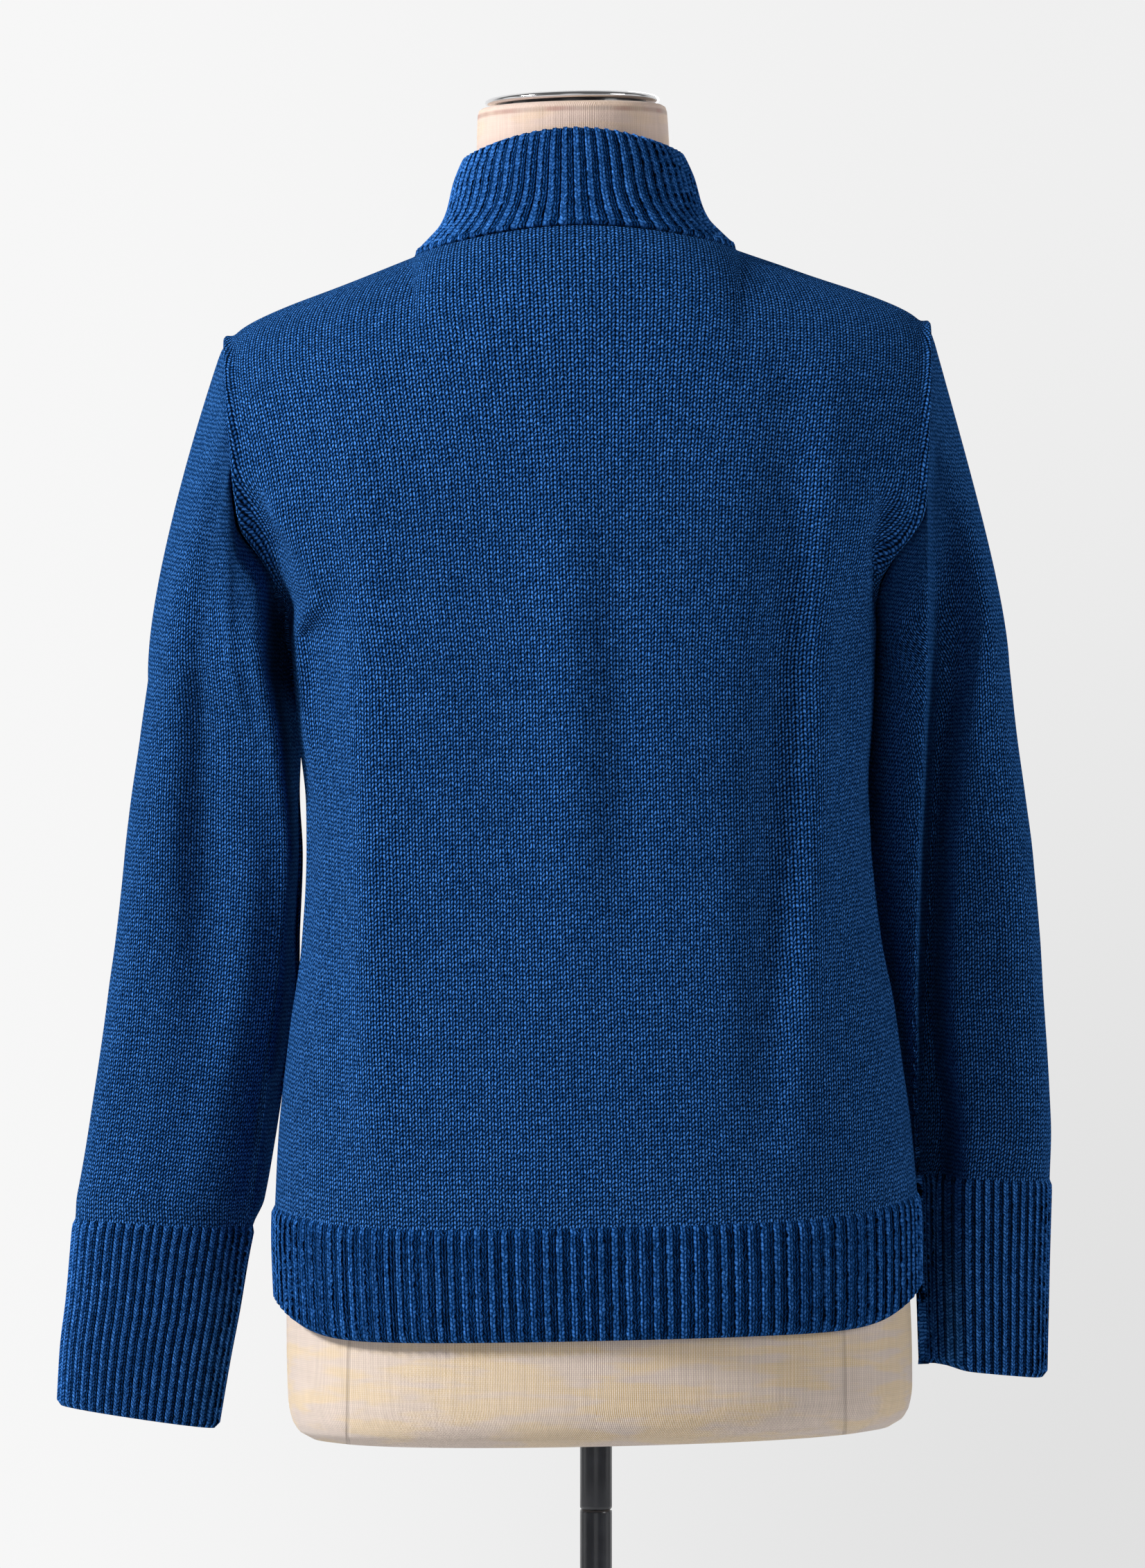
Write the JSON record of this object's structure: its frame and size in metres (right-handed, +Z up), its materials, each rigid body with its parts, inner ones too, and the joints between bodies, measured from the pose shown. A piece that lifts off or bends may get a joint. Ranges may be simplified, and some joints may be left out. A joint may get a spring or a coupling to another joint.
{
  "type": "cardigan on a dress form",
  "caption": "Blue knitted cardigan with ribbed stand-up collar, cuffs and hem, buttoned in front, on a limbless linen dress form on a pole with a round foot.",
  "frame": {"origin": "middle of the base plate's underside, on the floor", "axes": "+Z up along the pole, -Y out of the garment's buttoned front, +X towards its wearer's left sleeve"},
  "size_m": [0.5909, 0.34, 1.302],
  "materials": {
    "blue_knit": "mid-blue plain knit, stitches visible",
    "blue_rib": "mid-blue ribbed knit",
    "blue_button": "dyed to match, polished",
    "linen": "natural woven linen over a smooth body",
    "chrome": "polished",
    "black_steel": "smooth satin black"
  },
  "bodies": {
    "root": {"back_panel": "blue_knit", "left_front": "blue_knit", "right_front": "blue_knit", "left_sleeve": "blue_knit", "right_sleeve": "blue_knit", "back_hem_rib": "blue_rib", "left_front_hem_rib": "blue_rib", "right_front_hem_rib": "blue_rib", "left_cuff_rib": "blue_rib", "right_cuff_rib": "blue_rib", "collar_rib": "blue_rib", "button_band": "blue_rib", "buttonhole_band": "blue_rib", "button_1": "blue_button", "button_2": "blue_button", "button_3": "blue_button", "button_4": "blue_button", "button_5": "blue_button", "button_6": "blue_button", "button_7": "blue_button", "button_8": "blue_button", "linen_form": "linen", "neck_cap": "chrome", "pole_upper": "black_steel", "pole_lower": "black_steel", "base_plate": "black_steel"}
  },
  "joints": []
}
